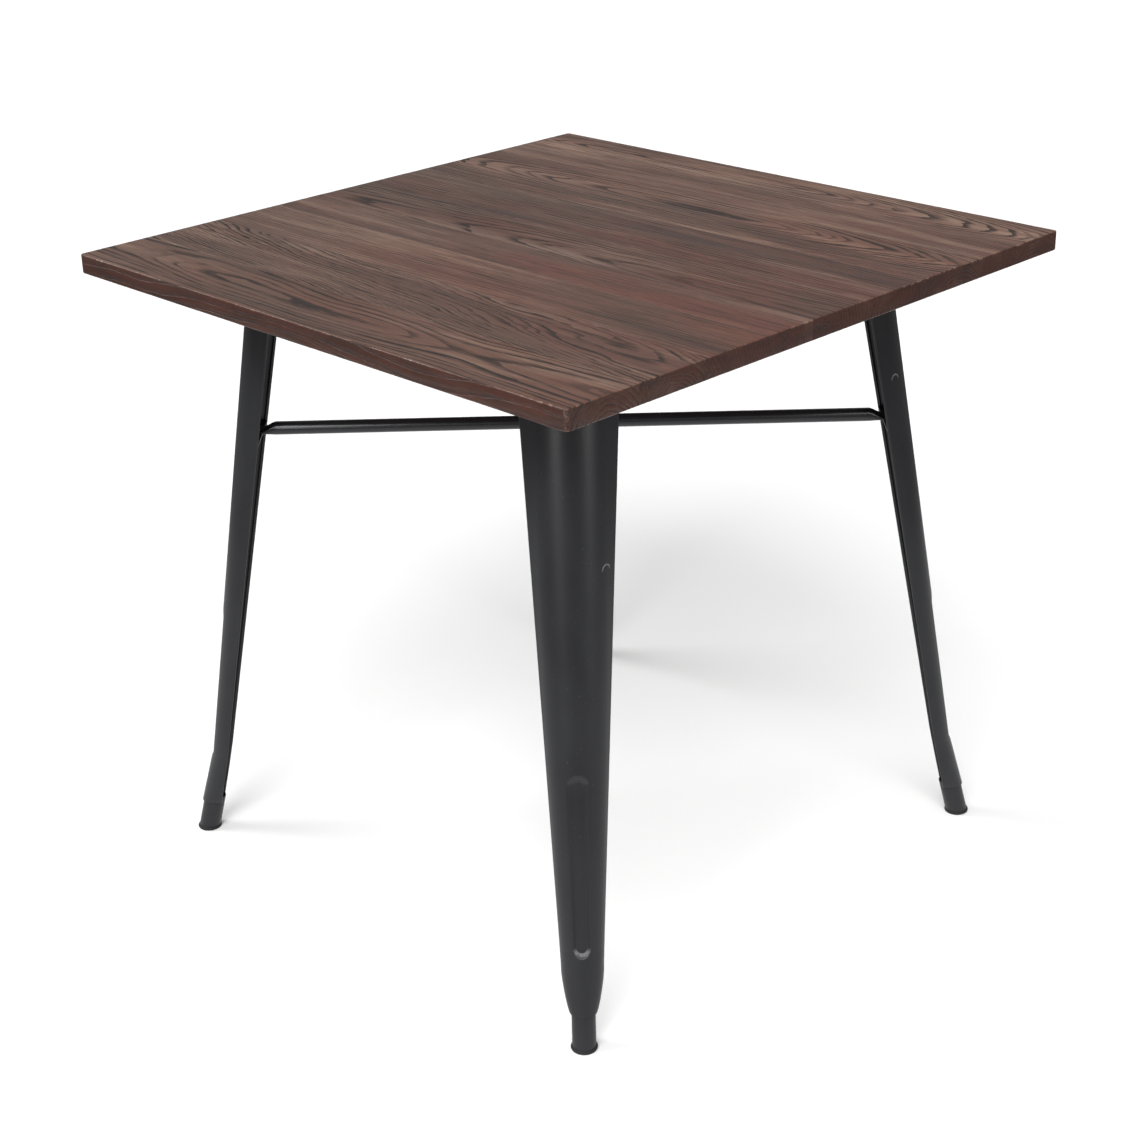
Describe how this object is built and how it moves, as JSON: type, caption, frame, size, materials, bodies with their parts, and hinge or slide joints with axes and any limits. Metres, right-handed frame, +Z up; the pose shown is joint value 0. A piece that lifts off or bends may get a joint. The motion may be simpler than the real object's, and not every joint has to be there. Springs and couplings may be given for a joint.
{
  "type": "bistro table",
  "caption": "Square bistro table: an edge-glued wooden top on a steel frame with splayed, tapered legs of pressed sheet steel and a crossed tube brace.",
  "frame": {"origin": "on the floor under the middle of the top", "axes": "+Z up; the boards run along X; front is -Y, right is +X"},
  "size_m": [0.8, 0.8, 0.77],
  "materials": {
    "stained_wood": "dark stained and brushed, satin",
    "black_coat": "satin powder coat",
    "black_rubber": "matt",
    "zinc_steel": "zinc plated"
  },
  "bodies": {
    "root": {"board_1": "stained_wood", "board_2": "stained_wood", "board_3": "stained_wood", "board_4": "stained_wood", "board_5": "stained_wood", "board_6": "stained_wood", "board_7": "stained_wood", "board_8": "stained_wood", "board_9": "stained_wood", "frame_rail_right": "black_coat", "frame_rail_back": "black_coat", "frame_rail_left": "black_coat", "frame_rail_front": "black_coat", "frame_corner_front_right": "black_coat", "frame_corner_back_right": "black_coat", "frame_corner_back_left": "black_coat", "frame_corner_front_left": "black_coat", "leg_front_right": "black_coat", "leg_back_right": "black_coat", "leg_back_left": "black_coat", "leg_front_left": "black_coat", "leg_plate_front_right": "black_coat", "leg_plate_back_right": "black_coat", "leg_plate_back_left": "black_coat", "leg_plate_front_left": "black_coat", "brace_shelf_front_right": "black_coat", "brace_shelf_back_right": "black_coat", "brace_shelf_back_left": "black_coat", "brace_shelf_front_left": "black_coat", "ferrule_front_right": "black_coat", "ferrule_back_right": "black_coat", "ferrule_back_left": "black_coat", "ferrule_front_left": "black_coat", "foot_pad_front_right": "black_rubber", "foot_pad_back_right": "black_rubber", "foot_pad_back_left": "black_rubber", "foot_pad_front_left": "black_rubber", "brace_upper": "black_coat", "brace_lower": "black_coat", "brace_centre_bolt": "zinc_steel", "brace_centre_nut": "zinc_steel", "brace_end_bolts": "zinc_steel", "brace_end_nuts": "zinc_steel", "leg_bolts": "zinc_steel", "leg_bolt_washers": "zinc_steel", "leg_bolt_nuts": "zinc_steel", "top_screws": "zinc_steel"}
  },
  "joints": []
}
